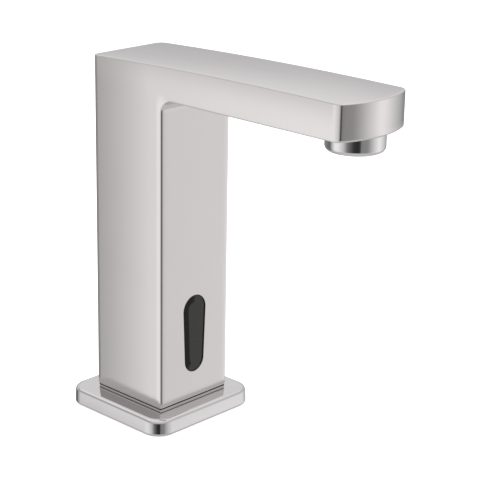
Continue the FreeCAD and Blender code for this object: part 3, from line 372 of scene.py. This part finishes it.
column_foot_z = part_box("flange")[1].z
lens_low_z = column_foot_z + 0.0201
lens_high_z = column_foot_z + 0.0459
lens_low_radius = 0.0064
lens_high_radius = 0.0075
lens_facet = 0.0042
lens_facet_run = 0.0006
lens_facet_slope = 0.50
lens_facet_over_top = 0.4
lens_facet_fade = (0.1, 0.6)


def face_normal(finish):
    """The way a face looks, before any lean or bump."""
    return Signal.node(finish.node_tree, "ShaderNodeNewGeometry", {}, {}, "Normal")


def leaned(normal, slopes):
    """A normal tipped over by slopes along X, Y and Z, and brought back to length 1."""
    tree = normal.tree
    lean = Signal.node(tree, "ShaderNodeCombineXYZ", {}, slopes)
    tipped = Signal.node(tree, "ShaderNodeVectorMath", {"operation": "ADD"}, {0: normal, 1: lean})
    return Signal.node(tree, "ShaderNodeVectorMath", {"operation": "NORMALIZE"}, {0: tipped})


def make_smoked_lens():
    """Smoked acrylic; a facet runs up the left side of the slot and over its top."""
    finish, place = new_finish("smoked_lens")
    across, _, up = place.axes()
    along = (up - lens_low_z) / (lens_high_z - lens_low_z)
    along = along.math("MAXIMUM", 0.0).math("MINIMUM", 1.0)
    over = up - lens_low_z - along * (lens_high_z - lens_low_z)
    reach = (across * across + over * over).math("SQRT") + 0.0001
    edge = lens_low_radius + along * (lens_high_radius - lens_low_radius)
    facing = ((over * lens_facet_over_top - across) / reach).rise(*lens_facet_fade)
    slope = (reach - edge + lens_facet).rise(0.0, lens_facet_run) * facing * lens_facet_slope
    bevelled = leaned(face_normal(finish), {"X": slope * -1.0})
    depth = place.speckle(0.012)
    haze = place.speckle(0.0006)
    return surface(finish, {
        "Base Color": depth.tint((0.0135, 0.0115, 0.0112), (0.0180, 0.0157, 0.0150)),
        "Roughness": 0.10 + 0.06 * haze,
        "Specular IOR Level": 0.34,
        "Normal": haze.relief(0.000004, bevelled),
    })


dress(make_smoked_lens(), "sensor_window")
dress(rubber, "window_seal")

# ---- leads --------------------------------------------------------------------------------------
# Insulated wires, two from the coil and two from the battery case, run up inside the column and
# through holes in the back of the sensor housing.


def make_insulation(name, dark, light):
    finish, place = new_finish(name)
    scuff = place.stretched((1.0, 1.0, 0.3)).speckle(0.0015)
    return surface(finish, {
        "Base Color": scuff.tint(dark, light),
        "Roughness": 0.40 + 0.15 * scuff,
        "Normal": scuff.relief(0.00002),
    })


dress(make_insulation("red_lead", (0.36, 0.012, 0.010), (0.50, 0.025, 0.020)), "coil_leads")
dress(make_insulation("black_lead", (0.012, 0.012, 0.013), (0.026, 0.026, 0.028)), "battery_leads")

# ---- cast body ----------------------------------------------------------------------------------
# One hollow brass casting, column and spout together, ground flat, satin polished along its length
# and chrome plated. The wheel leaves each face slightly crowned, which leaning normals stand for.

body_low, body_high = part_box("body")
column_half_x = (body_high.x - body_low.x) / 2
column_half_y = body_high.y
spout_depth = 0.0169
underside_z = body_high.z - spout_depth
underside_blend = 0.004

# slopes of the lean, and the runs that say how far in from an edge it starts
rear_lean = 0.093
rear_lean_run = 0.040
edge_lean = 0.15
edge_lean_run = 0.0045
tip_crown = 0.20
corner_pull = 1.5
top_lean = 0.13
top_lean_run = 0.014
top_crown = 0.050
front_lean = 0.14

# how squarely a normal points along an axis on a flat face, and where a rounded corner lies
flat_face = (0.75, 0.97)
corner_start = (0.65, 0.80)
corner_end = (0.985, 0.999)


def rolled(distance, run):
    """0 further than run from an edge, growing by squares to 1 at the edge."""
    share = (1 - distance / run).math("MAXIMUM", 0.0)
    return share * share


def make_satin_chrome():
    finish, place = new_finish("satin_chrome")
    x, y, z = place.axes()
    normal = face_normal(finish)
    normal_x, normal_y, normal_z = normal.axes()
    on_side = normal_x.math("ABSOLUTE").rise(*flat_face)
    on_front = (normal_y * -1.0).rise(*flat_face)
    on_top = normal_z.rise(*flat_face)
    on_column = 1 - z.rise(underside_z - underside_blend, underside_z + underside_blend)
    from_back = column_half_y - y
    from_front = (y + column_half_y).math("ABSOLUTE")
    from_side = column_half_x - x.math("ABSOLUTE")
    from_top = body_high.z - z
    back_roll = rolled(from_back, rear_lean_run).math("SQRT") * rear_lean
    back_roll = back_roll + rolled(from_back, edge_lean_run) * edge_lean
    front_roll = rolled(from_front, edge_lean_run) * on_column * edge_lean
    side_roll = rolled(from_side, edge_lean_run) * x.math("SIGN") * edge_lean
    side_share = normal_x.math("ABSOLUTE")
    on_corner = side_share.rise(*corner_start) * (1 - side_share.rise(*corner_end))
    across = x / column_half_x
    front_turn = side_roll - front_lean * on_column + across * tip_crown * (1 - on_column)
    top_turn = across * top_crown
    crowned = leaned(normal, {
        "X": front_turn * on_front + top_turn * on_top + normal_x * on_corner * corner_pull,
        "Y": (back_roll - front_roll) * on_side,
        "Z": rolled(from_top, top_lean_run).math("SQRT") * on_side * top_lean,
    })
    brushing = place.stretched((1.0, 0.3, 0.05)).speckle(0.0004, 3.0)
    wear = place.speckle(0.030, 3.0)
    return surface(finish, {
        "Base Color": wear.tint((0.778, 0.742, 0.745), (0.810, 0.775, 0.778)),
        "Metallic": 1.0,
        "Roughness": 0.145 + 0.04 * brushing + 0.02 * wear,
        "Normal": brushing.relief(0.0000015, crowned),
    })


dress(make_satin_chrome(), "body")
dress(stainless, "body_set_screw")

# ---- flange -------------------------------------------------------------------------------------
# A square escutcheon, pressed in brass, bright polished and chrome plated. The column stands on
# its raised middle. The narrow edge just below the column is dull, and it is painted near black
# as the shade in the gap under the column.

level_top = (0.90, 0.99)
upright_wall = (0.1, 0.4)
mitre = 0.002
# near black painted shade for the gap under the column
painted_gap_shade = (0.045, 0.042, 0.042, 1.0)


def make_bright_chrome(name, dark, light, fall=0.0, tighten=0.0, shaded_step_z=1.0):
    """Mirror-bright plating. A level top falls away from the middle by the slope fall, and upright
    corners turn faster by the share tighten. The step above the given height stays dull, and its
    colour is painted near black as the shade in the gap under the column."""
    finish, place = new_finish(name)
    x, y, z = place.axes()
    normal = face_normal(finish)
    normal_x, normal_y, normal_z = normal.axes()
    on_top = normal_z.rise(*level_top)
    turned = tighten * (1 - normal_z.math("ABSOLUTE").rise(*upright_wall))
    sideways = (x.math("ABSOLUTE") - y.math("ABSOLUTE")).rise(-mitre, mitre)
    sloped = leaned(normal, {
        "X": x.math("SIGN") * sideways * on_top * fall
        + normal_x * (normal_x.math("ABSOLUTE") - 1) * turned,
        "Y": y.math("SIGN") * (1 - sideways) * on_top * fall
        + normal_y * (normal_y.math("ABSOLUTE") - 1) * turned,
    })
    smear = place.speckle(0.012, 3.0)
    fine = place.speckle(0.0015)
    # painted shade: the step just below the column is rough, and its colour is near black for the
    # shade in the gap under the column
    dull_shaded_step = z.rise(shaded_step_z, shaded_step_z + 0.0001)
    shade = (smear * (1 - dull_shaded_step)).tint(dark, light)
    colour_with_gap_shade = Signal.node(
        finish.node_tree, "ShaderNodeMix", {"data_type": "RGBA"},
        {0: dull_shaded_step, 6: shade, 7: painted_gap_shade}, 2,
    )
    return surface(finish, {
        "Base Color": colour_with_gap_shade,
        "Metallic": 1.0,
        "Roughness": 0.035 + 0.03 * smear + 0.015 * fine + 0.4 * dull_shaded_step,
        "Normal": fine.relief(0.0000005, sloped),
    })


flange_chrome = make_bright_chrome(
    "flange_chrome", (0.675, 0.656, 0.658), (0.715, 0.697, 0.699),
    fall=0.075, tighten=0.5, shaded_step_z=column_foot_z - 0.0005,
)
dress(flange_chrome, "flange")

# ---- aerator ------------------------------------------------------------------------------------
# A turned ring with a bright chrome face screws up into the spout. It carries a grey insert
# drilled for the jets, a fine steel screen above it and a rubber washer.

aerator_chrome = make_bright_chrome("aerator_chrome", (0.770, 0.750, 0.752), (0.810, 0.792, 0.794))
dress(aerator_chrome, "aerator_housing")
dress(make_plastic("grey_plastic", (0.30, 0.30, 0.31), (0.40, 0.40, 0.41), 0.36), "aerator_insert")
dress(stainless, "aerator_screen")
dress(rubber, "aerator_washer")

# ---- studio -------------------------------------------------------------------------------------
# A pale floor that stays white around the tap and keeps its shadow. Metal sees a surround of soft
# greys: bright to the left and to the right, near black beside the camera and dim behind the tap.

floor_size = 6.0
floor_paper = (0.8, 0.8, 0.8, 1.0)
floor_glow = 0.62
white = (1.0, 1.0, 1.0, 1.0)


def make_floor():
    material, _ = new_finish("studio_floor")
    tree = material.node_tree
    path = Signal.node(tree, "ShaderNodeLightPath", {}, {}, "Is Camera Ray")
    outputs = path.socket.node.outputs
    mirrored = Signal(tree, outputs["Is Glossy Ray"])
    paper = Signal.node(tree, "ShaderNodeBsdfDiffuse", {}, {"Color": floor_paper})
    strength = floor_glow * path
    glow = Signal.node(tree, "ShaderNodeEmission", {}, {"Color": white, "Strength": strength})
    lit = Signal.node(tree, "ShaderNodeAddShader", {}, {0: paper, 1: glow})
    clear = Signal.node(tree, "ShaderNodeBsdfTransparent", {}, {})
    mixed = Signal.node(tree, "ShaderNodeMixShader", {}, {0: mirrored, 1: lit, 2: clear})
    Signal.node(tree, "ShaderNodeOutputMaterial", {}, {"Surface": mixed})
    return material


bpy.ops.mesh.primitive_plane_add(size=floor_size)
floor = bpy.context.object
floor.name = "studio_floor"
floor.data.materials.append(make_floor())

# What metal sees: grey levels by azimuth, in degrees from the tap's front towards its right, below
# the horizon, and by height above it on the left, behind the tap and elsewhere.
wall_levels = [
    (-180, 0.30), (-170, 0.20), (-160, 0.12), (-141, 0.70), (-133, 1.00), (-118, 1.00),
    (-97, 0.67), (-79, 0.21), (-57, 0.05), (-43, 0.03), (-33, 0.05), (-27, 0.26),
    (-3, 0.30), (22, 0.68), (46, 1.00), (58, 0.94), (81, 0.67), (110, 0.35),
    (135, 0.25), (160, 0.28), (180, 0.30),
]
left_levels = [(0, 0.52), (0.34, 0.60), (0.44, 0.36), (0.52, 0.36), (0.58, 1.00), (1, 1.00)]
back_levels = [(0, 0.54), (0.17, 0.54), (0.30, 0.84), (0.6, 0.85), (1, 0.80)]
open_levels = [(0, 0.60), (0.3, 0.68), (0.54, 0.68), (0.62, 0.95), (1, 0.95)]
left_side = (-178, -160, -100, -75)
back_side = (80, 115, 150, 178)
under_level = 0.60
under_reach = (-0.65, -0.48)
wall_top = (-0.22, 0.15)


def make_surround():
    world = bpy.data.worlds.new("studio_surround")
    bpy.context.scene.world = world
    world.use_nodes = True
    tree = world.node_tree
    tree.nodes.clear()
    direction = Signal.node(tree, "ShaderNodeTexCoord", {}, {}, "Generated")
    x, y, z = direction.axes()
    azimuth = x.math("ARCTAN2", y * -1.0) * (180 / math.pi)

    def panel(start, full, full_end, end):
        """1 across a stretch of azimuth and 0 beyond its ends."""
        return azimuth.rise(start, full) * (1 - azimuth.rise(full_end, end))

    wall = azimuth.levels(*wall_levels)
    wall = wall + (under_level - wall) * (1 - z.rise(*under_reach))
    sky = z.levels(*open_levels)
    sky = sky + (z.levels(*left_levels) - sky) * panel(*left_side)
    sky = sky + (z.levels(*back_levels) - sky) * panel(*back_side)
    seen = wall + (sky - wall) * z.rise(*wall_top)
    path = Signal.node(tree, "ShaderNodeLightPath", {}, {}, "Is Camera Ray")
    strength = seen + (1 - seen) * path
    sockets = {"Color": white, "Strength": strength}
    background = Signal.node(tree, "ShaderNodeBackground", {}, sockets)
    Signal.node(tree, "ShaderNodeOutputWorld", {}, {"Surface": background})


make_surround()

# one wide lamp overhead, seen by dull surfaces only
lamp_place = (-0.5, -0.6, 1.6)
lamp_width = 1.4
lamp_watts = 16.0
lamp_data = bpy.data.lights.new("overhead_lamp", "AREA")
lamp_data.shape = "DISK"
lamp_data.size = lamp_width
lamp_data.energy = lamp_watts
lamp = bpy.data.objects.new("overhead_lamp", lamp_data)
lamp.location = lamp_place
lamp.rotation_euler = (-lamp.location).to_track_quat("-Z", "Y").to_euler()
lamp.visible_glossy = False
bpy.context.scene.collection.objects.link(lamp)

# ---- camera -------------------------------------------------------------------------------------
# It stands to the left of the tap's front and a little above it, and leans over by one degree.

camera_azimuth = math.radians(-46.57)
camera_elevation = math.radians(18.288)
camera_roll = math.radians(1.0)
camera_distance = 0.7676
focal_length_mm = 118.198
frame_width_mm = 36.0
nearest_seen = 0.01
aim_right = 0.038583
aim_height = 0.086277

level_right = Vector((math.cos(camera_azimuth), math.sin(camera_azimuth), 0))
level_ahead = Vector((-math.sin(camera_azimuth), math.cos(camera_azimuth), 0))
ahead = level_ahead * math.cos(camera_elevation) - Vector((0, 0, math.sin(camera_elevation)))
level_up = level_right.cross(ahead)
right = level_right * math.cos(camera_roll) + level_up * math.sin(camera_roll)
up = level_up * math.cos(camera_roll) - level_right * math.sin(camera_roll)
target = level_right * aim_right + Vector((0, 0, aim_height))

camera_data = bpy.data.cameras.new("camera")
camera_data.lens = focal_length_mm
camera_data.sensor_width = frame_width_mm
camera_data.clip_start = nearest_seen
camera = bpy.data.objects.new("camera", camera_data)
turn = Matrix((right, up, -ahead)).transposed().to_4x4()
camera.matrix_world = Matrix.Translation(target - ahead * camera_distance) @ turn
bpy.context.scene.collection.objects.link(camera)
bpy.context.scene.camera = camera
bpy.context.scene.view_settings.view_transform = "Standard"
